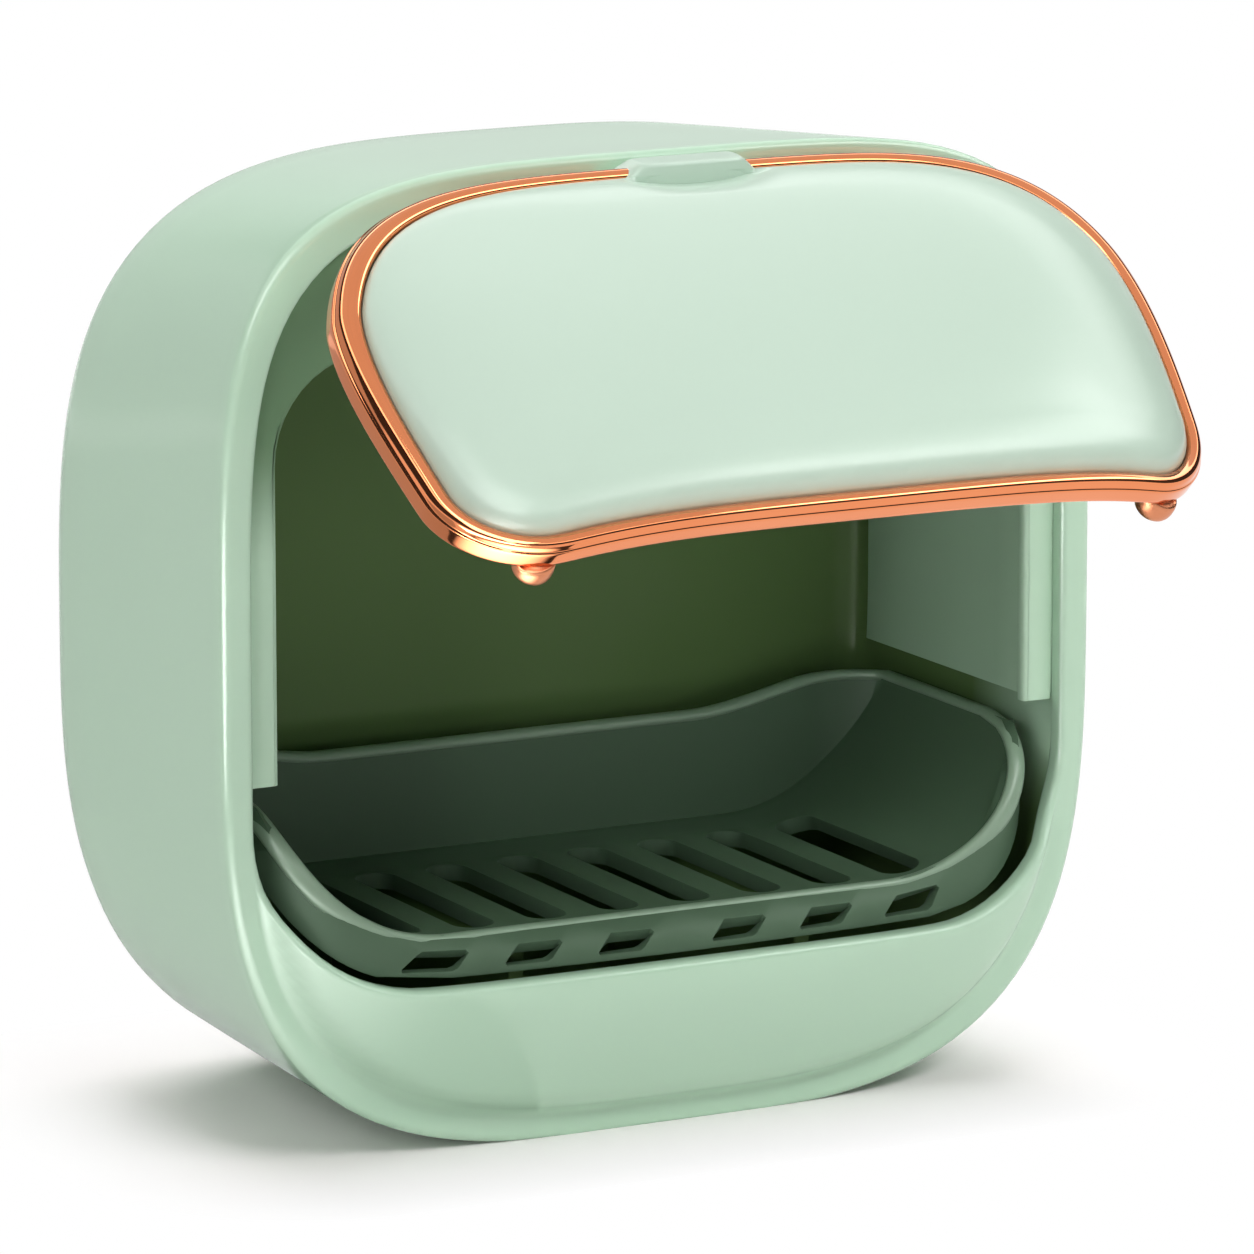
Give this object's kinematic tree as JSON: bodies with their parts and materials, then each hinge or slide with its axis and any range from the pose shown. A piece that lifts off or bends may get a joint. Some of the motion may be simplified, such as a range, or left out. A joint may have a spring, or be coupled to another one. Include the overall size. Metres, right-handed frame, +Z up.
{
  "type": "lidded soap dish",
  "caption": "Upright rounded soap box with an open front, a flip-up lid edged by a copper coloured trim ring, an inner liner and a slotted pull-out drain tray.",
  "frame": {"origin": "middle of the flat base that the housing stands on", "axes": "+Z up, -Y out of the open front towards the user, +X to the right seen from the front; left and right mirror each other in x = 0"},
  "size_m": [0.13, 0.1188, 0.1314],
  "materials": {
    "mint_plastic": "satin moulded mint green",
    "lid_plastic": "satin moulded pale mint green",
    "liner_plastic": "matte moulded mint green",
    "tray_plastic": "matte dark sage green",
    "copper_trim": "polished copper coloured plating",
    "steel": "plain steel",
    "washer_rubber": "matte black",
    "pad_foam": "matte pale foam tape"
  },
  "bodies": {
    "housing": {"housing_shell": "mint_plastic", "inner_liner": "liner_plastic", "adhesive_pad": "pad_foam", "liner_screw_left_lower": "steel", "liner_screw_left_upper": "steel", "liner_screw_right_lower": "steel", "liner_screw_right_upper": "steel", "hinge_pin_left": "steel", "hinge_pin_right": "steel", "friction_washer_left": "washer_rubber", "friction_washer_right": "washer_rubber"},
    "lid": {"lid_frame": "liner_plastic", "lid_trim_ring": "copper_trim", "lid_panel": "lid_plastic", "lid_screw_left_lower": "steel", "lid_screw_left_upper": "steel", "lid_screw_right_lower": "steel", "lid_screw_right_upper": "steel", "pull_nub_left": "copper_trim", "pull_nub_right": "copper_trim"},
    "tray": {"drain_tray": "tray_plastic"}
  },
  "joints": [
    {"name": "lid_hinge", "type": "hinge", "parent": "housing", "child": "lid", "pos_m": [0, -0.0336, 0.125], "axis": [1, 0, 0], "range_deg": [-8, 43.5]},
    {"name": "tray_slide", "type": "slide", "parent": "housing", "child": "tray", "axis": [0, -1, 0], "range_m": [0, 0.065]}
  ]
}
